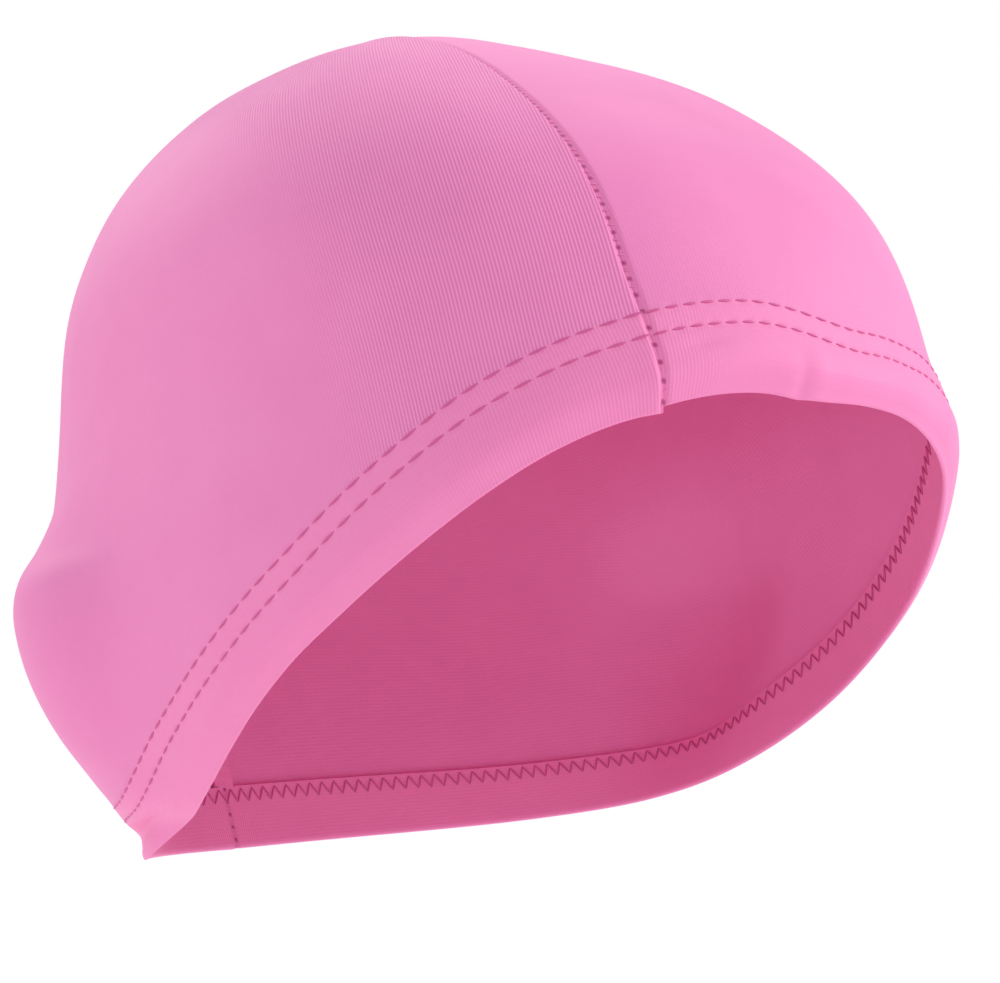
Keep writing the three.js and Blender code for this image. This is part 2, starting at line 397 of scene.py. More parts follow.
class SideCloth:
    """One side's cloth, read by its length along the hem and its length up from the edge."""

    stations: int = 480
    climbs: int = 200
    low_rows: int = 120
    low_height: float = 60.0
    seam_gap_half: float = 0.02

    def __init__(self, form: WornForm, side: Side) -> None:
        """Measure the side once.

        Args:
            form: The worn form.
            side: The side to measure.
        """
        self.form = form
        self.side = side
        self.bends = BENDS[side]
        self.shift = side.value * self.seam_gap_half
        self.turns_round = np.linspace(0.0, math.pi, self.stations + 1)
        edge = form.edge_turn(side, self.shift, self.turns_round)
        downs = edge[:, None] * np.linspace(1.0, 0.0, self.climbs + 1)
        points = form.place(side, self.shift, self.turns_round[:, None], downs)
        steps = np.linalg.norm(np.diff(points, axis=1), axis=2)
        climbed = np.concatenate([np.zeros((len(edge), 1)), np.cumsum(steps, axis=1)], axis=1)
        heights = np.linspace(0.0, self.low_height, self.low_rows + 1)
        self.low_turns = np.stack([np.interp(heights, row, down) for row, down in zip(climbed, downs)])
        self.hem_turns = self.low_turns_at(self.turns_round, np.full(len(edge), form.hem_depth))
        shares = np.linspace(0.0, 1.0, self.climbs + 1)
        self.heights = np.stack([
            np.interp(shares * top, down[::-1], row[::-1])
            for top, down, row in zip(self.hem_turns, downs, climbed)
        ])
        rows = form.place(side, self.shift, self.turns_round[:, None], self.hem_turns[:, None] * shares)
        widths = np.linalg.norm(np.diff(rows, axis=0), axis=2)
        across = np.concatenate([np.zeros((1, len(shares))), np.cumsum(widths, axis=0)])
        self.hem_length = float(across[-1, -1])
        self.hem_lengths = across[:, -1]
        self.widths = across - across[self.stations // 2]

    def low_turns_at(self, around: Values, height: Values) -> Values:
        """Give the turn down to a place near the edge.

        Args:
            around: The turn round the hem's axis.
            height: The length up from the edge.

        Returns:
            The turn down at each place.
        """
        column = around / math.pi * self.stations
        return table_at(self.low_turns, column, height / self.low_height * self.low_rows)

    def down_at(self, around: Values, height: Values) -> Values:
        """Give the turn down to a place near the edge, with the hem's bends.

        Args:
            around: The turn round the hem's axis.
            height: The even length up from the edge.

        Returns:
            The turn down at each place.
        """
        lift = self.bends.lift(self.along_at(around), height)
        return self.low_turns_at(around, height + lift)

    def panel_down(self, around: Values, share: Values) -> Values:
        """Give the turn down to a place of the panel, with the hem's bends.

        Args:
            around: The turn round the hem's axis.
            share: The share of the turn from the pole to the hem.

        Returns:
            The turn down at each place.
        """
        lift = self.bends.lift(self.along_at(around), self.height_at(around, share))
        top = np.full(around.shape, self.form.hem_depth)
        reached = np.interp(around, self.turns_round, self.hem_turns)
        lifted = self.low_turns_at(around, top + lift) - reached
        return reached * share + lifted

    def height_at(self, around: Values, share: Values) -> Values:
        """Give the length up from the edge at a share of the turn from the pole to the hem."""
        return table_at(self.heights, around / math.pi * self.stations, share * self.climbs)

    def width_at(self, around: Values, share: Values) -> Values:
        """Give the length along a row of the panel, from the middle of the side."""
        return table_at(self.widths, around / math.pi * self.stations, share * self.climbs)

    def along_at(self, around: Values) -> Values:
        """Give the length along the upper row of stitches, from the front end."""
        return np.interp(around, self.turns_round, self.hem_lengths)

    def around_at(self, along: Values) -> Values:
        """Give the turn round the axis at a length along the upper row of stitches."""
        return np.interp(along, self.hem_lengths, self.turns_round)

    def seam_gap(self, points: Values, around: Values, down: Values) -> Values:
        """Give each point's distance from the crown seam, measured level across it.

        Args:
            points: Places on the form.
            around: The turn round the hem's axis of each.
            down: The turn down of each.

        Returns:
            The distance from the seam.
        """
        start = np.array([-self.form.seam_offset, 0.0, self.form.girth])
        across = (points - start) @ self.form.across
        in_hem = smoothstep(down, self.form.swing_from, self.form.swing_to)
        reach = np.linalg.norm(points - start, axis=-1) / self.form.front_reach
        weight = ((1.0 + np.cos(around)) / 2.0) ** 4
        swing = self.form.seam_swing * reach * np.sin(down) * in_hem * weight
        return np.abs(across - swing)


@dataclass(frozen=True)
class SoftSpot:
    """A soft swelling or hollow of the cloth near the hem."""

    along: float
    above: float
    half_along: float
    half_above: float
    out: float

    def at(self, along: Values, above: Values) -> Values:
        """Give how far the cloth stands out here.

        Args:
            along: The length along the hem.
            above: The length up from the edge.

        Returns:
            The height of the spot.
        """
        far = ((along - self.along) / self.half_along) ** 2 + ((above - self.above) / self.half_above) ** 2
        return self.out * np.exp(-far)


@dataclass(frozen=True)
class HemSewing:
    """Where the two rows of stitches lie and how they draw the cloth in."""

    pitch: float
    upper: float = 15.0
    lower: float = 11.1
    upper_groove: float = 0.17
    lower_groove: float = 0.15
    groove_half: float = 0.55
    bite: float = -0.45
    strip: float = 0.42
    bulge: float = 0.5
    tuck: float = 1.3
    tuck_to: float = 6.0
    tuck_roundness: float = 1.6
    bulge_from: float = 0.6
    bulge_to: float = 5.0
    bulge_end: float = 7.0
    strip_from: float = 0.5
    strip_to: float = 2.5
    stitch_gap: float = 0.7

    def wave(self, along: Values) -> Values:
        """Give 1 at the middle of each stitch and -1 between two."""
        return -np.cos(2.0 * math.pi * along / self.pitch)

    def groove(self, along: Values, above: Values) -> Values:
        """Give how deep the two rows draw the cloth in.

        Args:
            along: The length along the hem.
            above: The length up from the edge.

        Returns:
            The depth below the padded cloth.
        """
        biting = 1.0 - self.bite * self.wave(along)
        upper = self.upper_groove * np.exp(-(((above - self.upper) / self.groove_half) ** 2))
        lower = self.lower_groove * np.exp(-(((above - self.lower) / self.groove_half) ** 2))
        return (upper + lower) * biting

    def padding(self, above: Values) -> Values:
        """Give how far the doubled cloth stands out between and below the rows."""
        rising = smoothstep(above, self.bulge_from, self.bulge_to)
        below = self.bulge * rising * smoothstep(-above, -self.lower, -self.bulge_end)
        tucked = self.tuck * (1.0 - smoothstep(above, 0.0, self.tuck_to)) ** self.tuck_roundness
        return below + self.strip * smoothstep(above, self.strip_from, self.strip_to) - tucked


SPOTS: dict[Side, tuple[SoftSpot, ...]] = {
    Side.RIGHT: (
        SoftSpot(along=166.0, above=10.0, half_along=18.0, half_above=9.0, out=-1.5),
        SoftSpot(along=174.0, above=6.0, half_along=22.0, half_above=3.0, out=-3.6),
        SoftSpot(along=172.0, above=0.0, half_along=16.0, half_above=2.4, out=2.4),
        SoftSpot(along=153.0, above=0.0, half_along=12.0, half_above=7.0, out=-2.0),
    ),
    Side.LEFT: (
        SoftSpot(along=8.0, above=8.0, half_along=4.5, half_above=1.0, out=-0.4),
        SoftSpot(along=27.0, above=1.0, half_along=1.5, half_above=4.0, out=-0.35),
        SoftSpot(along=30.5, above=4.0, half_along=2.6, half_above=5.0, out=0.3),
        SoftSpot(along=82.0, above=9.0, half_along=12.0, half_above=7.0, out=1.5),
        SoftSpot(along=92.0, above=1.0, half_along=14.0, half_above=7.0, out=0.5),
    ),
}


@dataclass(frozen=True)
class FormSpot:
    """A soft swelling or hollow of the crown, over what the cloth is drawn across."""

    centre: tuple[float, float, float]
    half: float
    half_below: float
    out: float

    def at(self, points: Values) -> Values:
        """Give how far the cloth stands out at some places.

        Args:
            points: Places on the form.

        Returns:
            The height of the spot.
        """
        away = points - np.array(self.centre)
        down = away[..., 2] / np.where(away[..., 2] < 0.0, self.half_below, self.half)
        across = np.hypot(away[..., 0], away[..., 1]) / (2.0 * self.half)
        return self.out * np.exp(-(down**2 + across**2))


FORM_SPOTS: tuple[FormSpot, ...] = (
    FormSpot(centre=(-49.5, -14.0, -14.0), half=8.0, half_below=8.0, out=-0.85),
    FormSpot(centre=(-41.7, -21.7, -10.0), half=4.0, half_below=4.0, out=0.35),
    FormSpot(centre=(-85.0, 15.0, -101.0), half=7.5, half_below=3.5, out=-1.5),
    FormSpot(centre=(-74.5, 36.4, -88.0), half=7.0, half_below=7.0, out=-0.3),
    FormSpot(centre=(-70.9, 28.0, -44.3), half=9.0, half_below=9.0, out=-0.6),
    FormSpot(centre=(-74.4, 21.2, -145.5), half=5.0, half_below=5.0, out=-0.6),
)


@dataclass(frozen=True)
class SeamSewing:
    """The crown seam: the right panel swells to a lip, and a narrow band is drawn down beside it."""

    pitch: float = 3.0
    ridge: float = 0.42
    ridge_fall: float = 3.0
    lip_at: float = 1.0
    lip_width: float = 0.6
    ridge_roundness: float = 1.5
    dip: float = 0.28
    dip_from: float = 0.35
    dip_to: float = 1.3

    def relief(self, side: Side, gap: Values) -> Values:
        """Give how far the cloth stands out beside the seam.

        Args:
            side: The panel's side.
            gap: The distance from the seam.

        Returns:
            The height above the form.
        """
        if side is Side.LEFT:
            return -self.dip * (1.0 - smoothstep(gap, self.dip_from, self.dip_to))
        beyond = np.maximum(gap - self.lip_at, 0.0) / self.ridge_fall
        swell = self.ridge * np.exp(-(beyond**self.ridge_roundness))
        return swell - (self.ridge + self.dip) * smoothstep(self.lip_at - gap, 0.0, self.lip_width)


def linear(code: str, alpha: float = 1.0) -> tuple[float, float, float, float]:
    """Turn an sRGB hex colour into Blender's linear one.

    Args:
        code: Six hex digits.
        alpha: The fourth number.

    Returns:
        Red, green, blue and alpha.
    """
    parts = [int(code[i : i + 2], 16) / 255.0 for i in (0, 2, 4)]
    made = [c / 12.92 if c <= 0.04045 else ((c + 0.055) / 1.055) ** 2.4 for c in parts]
    return (*made, alpha)


def add_node(tree: bpy.types.NodeTree, kind: str, inputs: dict | None = None, **settings) -> bpy.types.Node:
    """Add a node with its settings and links.

    Args:
        tree: The tree that gets the node.
        kind: The node's type.
        inputs: A value, or a socket to link, for each input by its name or number.
        **settings: The node's own properties.

    Returns:
        The new node.
    """
    made = tree.nodes.new(kind)
    for name, value in settings.items():
        setattr(made, name, value)
    for key, value in (inputs or {}).items():
        if isinstance(value, bpy.types.NodeSocket):
            tree.links.new(value, made.inputs[key])
        else:
            made.inputs[key].default_value = value
    return made


def maths(
    tree: bpy.types.NodeTree, operation: str, *terms: float | bpy.types.NodeSocket
) -> bpy.types.NodeSocket:
    """Work out one step of arithmetic in a node tree.

    Args:
        tree: The tree.
        operation: The name of Blender's Math operation.
        *terms: Numbers or sockets.

    Returns:
        The socket with the result.
    """
    made = add_node(tree, "ShaderNodeMath", dict(enumerate(terms)), operation=operation)
    return made.outputs[0]


def start_material(name: str) -> tuple[bpy.types.Material, bpy.types.NodeTree, bpy.types.Node]:
    """Start a material with its shader.

    Args:
        name: The material's name.

    Returns:
        The material, its node tree and its shader.
    """
    material = bpy.data.materials.new(name)
    material.use_nodes = True
    return material, material.node_tree, material.node_tree.nodes["Principled BSDF"]


@dataclass(frozen=True)
class KnitFinish:
    """Warp-knitted nylon and elastane, dyed in the piece.

    Fine even wales with painted shade in their valleys, a soft sheen at the turn of the form and no gloss.
    """

    name: str
    color: str
    # The colour painted into the rib valleys as their shade.
    valley_shade: str
    pole: tuple[float, float, float]
    glow: float = 0.1
    roughness: float = 0.6
    wale: float = 0.63
    rib: float = 0.065
    course: float = 0.9
    mottle: float = 14.0
    skew: float = math.radians(9.0)
    low_skew: float = math.radians(13.6)
    low_skew_fade: float = 51.0
    ribs_from: float = 30.0
    ribs_to: float = 42.0
    tight: float = 1.0
    plain: float = 0.07
    bare: float = 3.0
    bare_to: float = 14.0
    seam: SeamSewing = SeamSewing()
    # The colour painted as shade into the seam's holes and along the band beside it.
    shade: str = "b8447e"
    # Where and how strongly the seam's holes are painted in shade.
    hole_from: float = 0.2
    hole_to: float = 0.6
    hole_gain: float = 1.3
    hole_threshold: float = 0.5
    # How far from the seam the band of painted shade reaches, and how strongly it is painted.
    band_to: float = 1.1
    band: float = 0.22
    specular: float = 0.35
    sheen_roughness: float = 0.45
    sheen_tint: str = "ffe0ee"
    cloudiness: float = 0.3
    course_relief: float = 0.12
    grain_relief: float = 0.6

    def make(self) -> bpy.types.Material:
        """Build the material.

        Returns:
            The knit's material.
        """
        material, tree, shader = start_material(self.name)
        shader.inputs["Roughness"].default_value = self.roughness
        shader.inputs["Specular IOR Level"].default_value = self.specular
        shader.inputs["Sheen Weight"].default_value = self.glow
        shader.inputs["Sheen Roughness"].default_value = self.sheen_roughness
        shader.inputs["Sheen Tint"].default_value = linear(self.sheen_tint)
        knit = add_node(tree, "ShaderNodeUVMap", uv_map=KNIT_MAP)
        place = add_node(tree, "ShaderNodeSeparateXYZ", {0: knit.outputs[0]})
        wide, high = place.outputs[0], place.outputs[1]
        easing = maths(tree, "MULTIPLY_ADD", high, -0.5 / (self.low_skew_fade * MM), 1.0)
        lean = maths(tree, "MULTIPLY_ADD", easing, math.tan(self.low_skew), math.tan(self.skew))
        leaning = maths(tree, "MULTIPLY_ADD", high, lean, wide)
        ribs = maths(tree, "SINE", maths(tree, "MULTIPLY", leaning, 2.0 * math.pi / (self.wale * MM)))
        clear = self.away_from_pole(tree)
        ribs = maths(tree, "MULTIPLY", ribs, maths(tree, "MULTIPLY", self.rib_share(tree), clear))
        rows = maths(tree, "SINE", maths(tree, "MULTIPLY", high, 2.0 * math.pi / (self.course * MM)))
        cloudy, grain = (
            add_node(tree, "ShaderNodeTexNoise", {"Vector": knit.outputs[0], "Scale": 1.0 / (size * MM)})
            for size in (self.mottle, self.wale)
        )
        # Mix the valley colour in as painted shade in the rib valleys, and the mottle as the knit's own
        # uneven tone.
        rib = maths(tree, "MULTIPLY_ADD", ribs, 0.5, 0.5)
        centred = maths(tree, "SUBTRACT", rib, self.cloudiness / 2.0)
        shown = maths(tree, "MULTIPLY_ADD", cloudy.outputs[0], self.cloudiness, centred)
        color = add_node(
            tree,
            "ShaderNodeMix",
            {0: shown, 6: linear(self.valley_shade), 7: linear(self.color)},
            data_type="RGBA",
        )
        # Paint the seam's holes and the band beside it towards the shade colour.
        hole = self.painted_seam_shade(tree)
        seam_shaded = add_node(
            tree,
            "ShaderNodeMix",
            {0: hole, 6: color.outputs[2], 7: linear(self.shade)},
            data_type="RGBA",
        )
        tree.links.new(seam_shaded.outputs[2], shader.inputs["Base Color"])
        height = maths(tree, "MULTIPLY_ADD", rows, self.course_relief, rib)
        height = maths(tree, "MULTIPLY_ADD", grain.outputs[0], self.grain_relief, height)
        bump = add_node(
            tree,
            "ShaderNodeBump",
            {"Strength": clear, "Distance": self.rib * MM, "Height": height},
        )
        tree.links.new(bump.outputs[0], shader.inputs["Normal"])
        return material

    def away_from_pole(self, tree: bpy.types.NodeTree) -> bpy.types.NodeSocket:
        """Leave the ribs out round the point of the crown where the flat pattern gathers.

        Args:
            tree: The material's tree.

        Returns:
            A socket that is 0 at the point and 1 away from it.
        """
        place = add_node(tree, "ShaderNodeTexCoord")
        pole = tuple(value * MM for value in self.pole)
        away = add_node(
            tree, "ShaderNodeVectorMath", {0: place.outputs["Object"], 1: pole}, operation="DISTANCE"
        )
        share = add_node(
            tree,
            "ShaderNodeMapRange",
            {0: away.outputs["Value"], 1: self.bare * MM, 2: self.bare_to * MM, 3: 0.0, 4: 1.0},
            interpolation_type="SMOOTHSTEP",
        )
        return share.outputs[0]

    def rib_share(self, tree: bpy.types.NodeTree) -> bpy.types.NodeSocket:
        """Let the ribs stand out most near the seam, where the knit is drawn tight.

        Args:
            tree: The material's tree.

        Returns:
            A socket with the share of the ribs' full height.
        """
        seam = add_node(tree, "ShaderNodeUVMap", uv_map=SEAM_MAP)
        place = add_node(tree, "ShaderNodeSeparateXYZ", {0: seam.outputs[0]})
        share = add_node(
            tree,
            "ShaderNodeMapRange",
            {0: place.outputs[0], 1: self.ribs_from * MM, 2: self.ribs_to * MM, 3: self.tight, 4: self.plain},
            interpolation_type="SMOOTHSTEP",
        )
        return share.outputs[0]

    def painted_seam_shade(self, tree: bpy.types.NodeTree) -> bpy.types.NodeSocket:
        """Paint shade into the small holes that the ladder of the seam leaves between its threads, and a
        fainter painted shade along the band beside the seam.

        Args:
            tree: The material's tree.

        Returns:
            A socket that is 1 in a hole's painted shadow and a fainter share along the band.
        """
        seam = add_node(tree, "ShaderNodeUVMap", uv_map=SEAM_MAP)
        place = add_node(tree, "ShaderNodeSeparateXYZ", {0: seam.outputs[0]})
        near, beside = (
            add_node(
                tree,
                "ShaderNodeMapRange",
                {0: place.outputs[0], 1: self.hole_from * MM, 2: reach * MM, 3: 1.0, 4: 0.0},
                interpolation_type="SMOOTHSTEP",
            )
            for reach in (self.hole_to, self.band_to)
        )
        turn = maths(tree, "MULTIPLY", place.outputs[1], 2.0 * math.pi / (self.seam.pitch * MM))
        wave = maths(tree, "COSINE", turn)
        swinging = maths(tree, "MULTIPLY_ADD", wave, self.hole_gain, -self.hole_threshold)
        hole = maths(tree, "MAXIMUM", swinging, 0.0)
        band = maths(tree, "MULTIPLY", beside.outputs[0], self.band)
        return maths(tree, "MULTIPLY_ADD", near.outputs[0], hole, band)


@dataclass(frozen=True)
class ThreadFinish:
    """Spun polyester sewing thread, a deeper pink than the cloth, with a faint silky gleam."""

    name: str = "spun_polyester_thread"
    color: str = "d0528f"
    light: str = "e06ea6"
    roughness: float = 0.5
    fibre: float = 0.25
    fibre_relief: float = 0.05
    relief_share: float = 0.6

    def make(self) -> bpy.types.Material:
        """Build the material.

        Returns:
            The thread's material.
        """
        material, tree, shader = start_material(self.name)
        shader.inputs["Roughness"].default_value = self.roughness
        place = add_node(tree, "ShaderNodeTexCoord")
        fibres = add_node(
            tree,
            "ShaderNodeTexNoise",
            {"Vector": place.outputs["Object"], "Scale": 1.0 / (self.fibre * MM), "Detail": 3.0},
        )
        color = add_node(
            tree,
            "ShaderNodeMix",
            {0: fibres.outputs[0], 6: linear(self.color), 7: linear(self.light)},
            data_type="RGBA",
        )
        tree.links.new(color.outputs[2], shader.inputs["Base Color"])
        bump = add_node(
            tree,
            "ShaderNodeBump",
            {"Strength": self.relief_share, "Distance": self.fibre_relief * MM, "Height": fibres.outputs[0]},
        )
        tree.links.new(bump.outputs[0], shader.inputs["Normal"])
        return material


@dataclass(frozen=True)
class FloorFinish:
    """Matt white paper of a photographer's sweep."""

    name: str = "matt_white_paper"
    color: str = "fbfaf9"
    fleck: str = "f8f7f6"
    roughness: float = 0.9
    specular: float = 0.1
    grains_in_a_metre: float = 40.0

    def make(self) -> bpy.types.Material:
        """Build the material.

        Returns:
            The paper's material.
        """
        material, tree, shader = start_material(self.name)
        shader.inputs["Roughness"].default_value = self.roughness
        shader.inputs["Specular IOR Level"].default_value = self.specular
        place = add_node(tree, "ShaderNodeTexCoord")
        grain = add_node(
            tree, "ShaderNodeTexNoise", {"Vector": place.outputs["Object"], "Scale": self.grains_in_a_metre}
        )
        color = add_node(
            tree,
            "ShaderNodeMix",
            {0: grain.outputs[0], 6: linear(self.color), 7: linear(self.fleck)},
            data_type="RGBA",
        )
        tree.links.new(color.outputs[2], shader.inputs["Base Color"])
        return material


def new_piece(name: str, shape: bmesh.types.BMesh, *materials: bpy.types.Material) -> bpy.types.Object:
    """Turn a finished shape into an object at the origin.

    Args:
        name: The piece's name.
        shape: The shape in metres, which is freed.
        *materials: The piece's materials, in the order of its slots.

    Returns:
        The piece's object, in the scene.
    """
    mesh = bpy.data.meshes.new(name)
    shape.to_mesh(mesh)
    shape.free()
    mesh.polygons.foreach_set("use_smooth", np.ones(len(mesh.polygons), dtype=bool))
    for material in materials:
        mesh.materials.append(material)
    piece = bpy.data.objects.new(name, mesh)
    bpy.context.collection.objects.link(piece)
    return piece


def cloth_grid(places: Values, maps: dict[str, Values]) -> bmesh.types.BMesh:
    """Lay a grid over rows of places.

    Args:
        places: The places in millimetres, by row and column.
        maps: Flat coordinates in millimetres for each UV map, by row and column.

    Returns:
        The grid as a bmesh in metres.
    """
    rows, columns = places.shape[:2]
    shape = bmesh.new()
    for name in maps:
        shape.loops.layers.uv.new(name)
    bmesh.ops.create_grid(shape, x_segments=columns - 1, y_segments=rows - 1, size=1.0)
    shape.verts.ensure_lookup_table()
    for vert, place in zip(shape.verts, places.reshape(-1, 3) * MM):
        vert.co = place
    for name, flat in maps.items():
        layer = shape.loops.layers.uv[name]
        spots = flat.reshape(-1, 2) * MM
        for face in shape.faces:
            for loop in face.loops:
                loop[layer].uv = spots[loop.vert.index]
    return shape


def crowded_turns(columns: int, crowding: float) -> Values:
    """Spread the turns from the forehead to the nape, closest together at the seam.

    Args:
        columns: How many steps there are.
        crowding: How much the ends are crowded, from 0 to 1.

    Returns:
        The turn round the hem's axis at each step.
    """
    t = np.linspace(0.0, 1.0, columns + 1)
    return math.pi * (t - crowding * np.sin(2.0 * math.pi * t) / (2.0 * math.pi))


def turn_outwards(shape: bmesh.types.BMesh, girth: float) -> None:
    """Turn the faces of an open sheet away from the middle of the form.

    Args:
        shape: The sheet in metres.
        girth: The level of the form's widest section, in millimetres.
    """
    bmesh.ops.recalc_face_normals(shape, faces=shape.faces)
    middle = shape.faces[len(shape.faces) // 2]
    outside = middle.calc_center_median() - Vector((0.0, 0.0, girth * MM))
    if middle.normal.dot(outside) < 0.0:
        bmesh.ops.reverse_faces(shape, faces=shape.faces)


class Stitches:
    """Many short threads that share one mesh. Each is thickest in the middle."""

    def __init__(self, thick: float, segments: int = 6, rings: int = 6) -> None:
        """Start an empty mesh and the one thread that is copied into it.

        Args:
            thick: The thread's thickness.
            segments: Faces round the thread.
            rings: Faces along it.
        """
        self.shape = bmesh.new()
        self.thick = thick
        self.thread = bpy.data.meshes.new("thread")
        single = bmesh.new()
        bmesh.ops.create_uvsphere(single, u_segments=segments, v_segments=rings, radius=1.0)
        single.to_mesh(self.thread)
        single.free()

    def add(self, start: Values, end: Values, thick: float | None = None) -> None:
        """Add one thread.

        Args:
            start: Where it comes out of the cloth, in millimetres.
            end: Where it goes in again, in millimetres.
            thick: Its thickness, where that isn't the usual one.
        """
        way = Vector((end - start) * MM)
        middle = Vector((start + end) / 2.0 * MM)
        half = (thick or self.thick) / 2.0 * MM
        turn = way.to_track_quat("Z", "Y").to_matrix().to_4x4()
        copy = self.thread.copy()
        size = Matrix.Diagonal((half, half, way.length / 2.0, 1.0))
        copy.transform(Matrix.Translation(middle) @ turn @ size)
        self.shape.from_mesh(copy)
        bpy.data.meshes.remove(copy)

    def finish(self, name: str, material: bpy.types.Material) -> bpy.types.Object:
        """Turn the threads into one piece.

        Args:
            name: The piece's name.
            material: The thread's material.

        Returns:
            The piece.
        """
        bpy.data.meshes.remove(self.thread)
        return new_piece(name, self.shape, material)


@dataclass
class CrownPanel:
    """A side's knit panel, from the hem to the crown seam."""

    form: WornForm
    cloth: SideCloth
    sewing: HemSewing
    seam: SeamSewing
    columns: int = 280
    rows: int = 150
    seam_crowding: float = 0.78
    pole_crowding: float = 1.6
    hem_crowding: float = 0.7

    def build(self, material: bpy.types.Material) -> bpy.types.Object:
        """Build the panel's mesh.

        Args:
            material: The knit.

        Returns:
            The panel.
        """
        side = self.cloth.side
        around = crowded_turns(self.columns, self.seam_crowding)
        s = np.linspace(0.0, 1.0, self.rows + 1) ** self.pole_crowding
        share = s + self.hem_crowding * s * (1.0 - s)
        around, share = np.meshgrid(around, share)
        down = self.cloth.panel_down(around, share)
        points = self.form.place(side, self.cloth.shift, around, down)
        height = self.cloth.height_at(around, share)
        along = self.cloth.along_at(around)
        gap = self.cloth.seam_gap(points, around, down)
        seam_length = np.where(around < math.pi / 2.0, down, -down) * self.form.crown_height
        out = self.seam.relief(side, gap) + self.hem_relief(along, height)
        out = out + sum(spot.at(points) for spot in FORM_SPOTS)
        normals = self.form.normal(points)
        places = points + normals * out[..., None]
        maps = {
            KNIT_MAP: np.stack([self.cloth.width_at(around, share), height - self.form.hem_depth], axis=-1),
            SEAM_MAP: np.stack([gap, seam_length], axis=-1),
        }
        shape = cloth_grid(places, maps)
        bmesh.ops.remove_doubles(shape, verts=shape.verts, dist=WELD * MM)
        turn_outwards(shape, self.form.girth)
        bmesh.ops.solidify(shape, geom=shape.faces, thickness=self.form.cloth * MM)
        piece = new_piece(f"knit_panel_{side.label}", shape, material)
        piece.data.set_sharp_from_angle(angle=SHARP)
        return piece

    def hem_relief(self, along: Values, height: Values) -> Values:
        """Give how the hem's upper row draws the panel in.

        Args:
            along: The length along the hem.
            height: The length up from the edge.

        Returns:
            The height above the form.
        """
        above = height - self.sewing.upper
        pad = self.sewing.strip * np.exp(-np.maximum(above, 0.0) / 2.0)
        spots = sum(spot.at(along, height) for spot in SPOTS[self.cloth.side])
        return pad - self.sewing.groove(along, height) + spots


@dataclass
class TurnedHem:
    """A side's double hem: the cloth is turned in at the edge and held by two rows of stitches."""

    form: WornForm
    cloth: SideCloth
    sewing: HemSewing
    seam: SeamSewing
    columns: int = 720
    outside: int = 34
    roll_steps: int = 8
    inside: int = 8
    seam_crowding: float = 0.45
    overlap: float = 0.25
    under: float = 0.03

    def section(self) -> tuple[Values, Values, Values]:
        """Lay out the hem's closed section, from the upper row down the outside and up inside.

        Returns:
            The height of each point, its depth under the outer face and its length along the cloth.
        """
        top = self.form.hem_depth + self.overlap
        roll = self.form.hem_thickness / 2.0
        outer = np.linspace(top, roll, self.outside)
        turn = np.linspace(0.0, math.pi, self.roll_steps + 2)[1:-1]
        inner = np.linspace(roll, top, self.inside)
        height = np.concatenate([outer, roll - roll * np.sin(turn), inner])
        depth = np.concatenate([
            np.zeros(self.outside),
            roll - roll * np.cos(turn),
            np.full(self.inside, self.form.hem_thickness),
        ])
        steps = np.hypot(np.diff(height), np.diff(depth))
        return height, depth, np.concatenate([[0.0], np.cumsum(steps)])

    def build(self, material: bpy.types.Material) -> bpy.types.Object:
        """Build the hem's mesh.

        Args:
            material: The knit.

        Returns:
            The hem.
        """
        side = self.cloth.side
        height, depth, length = self.section()
        height, depth, length = (np.append(row, row[0]) for row in (height, depth, length))
        around = crowded_turns(self.columns, self.seam_crowding)
        around, height = np.meshgrid(around, height)
        depth, length = (np.repeat(row[:, None], self.columns + 1, axis=1) for row in (depth, length))
        down = self.cloth.down_at(around, height)
        points = self.form.place(side, self.cloth.shift, around, down)
        along = self.cloth.along_at(around)
        gap = self.cloth.seam_gap(points, around, down)
        seam_length = np.where(around < math.pi / 2.0, down, -down) * self.form.crown_height
        out = self.relief(along, height, depth, gap)
        places = points + self.form.normal(points) * (out - depth)[..., None]
        maps = {
            KNIT_MAP: np.stack([self.cloth.width_at(around, np.ones_like(around)), -length], axis=-1),
            SEAM_MAP: np.stack([gap, seam_length], axis=-1),
        }
        shape = cloth_grid(places, maps)
        bmesh.ops.remove_doubles(shape, verts=shape.verts, dist=WELD * MM)
        open_edges = [edge for edge in shape.edges if edge.is_boundary]
        bmesh.ops.holes_fill(shape, edges=open_edges, sides=0)
        bmesh.ops.recalc_face_normals(shape, faces=shape.faces)
        piece = new_piece(f"turned_hem_{side.label}", shape, material)
        piece.data.set_sharp_from_angle(angle=SHARP)
        return piece

    def relief(self, along: Values, height: Values, depth: Values, gap: Values) -> Values:
        """Give how far the hem stands out from its plain section.

        Args:
            along: The length along the hem.
            height: The length up from the edge.
            depth: The depth under the outer face.
            gap: The distance from the crown seam.

        Returns:
            The height above the plain section.
        """
        outer = np.clip(1.0 - depth / self.form.hem_thickness, 0.0, 1.0)
        sewn = self.sewing.padding(height) - self.sewing.groove(along, height)
        sewn = sewn - self.under * smoothstep(height, self.form.hem_depth - self.overlap, self.form.hem_depth)
        spots = sum(spot.at(along, height) for spot in SPOTS[self.cloth.side])
        joined = self.seam.relief(self.cloth.side, gap)
        return (sewn + joined) * outer + spots


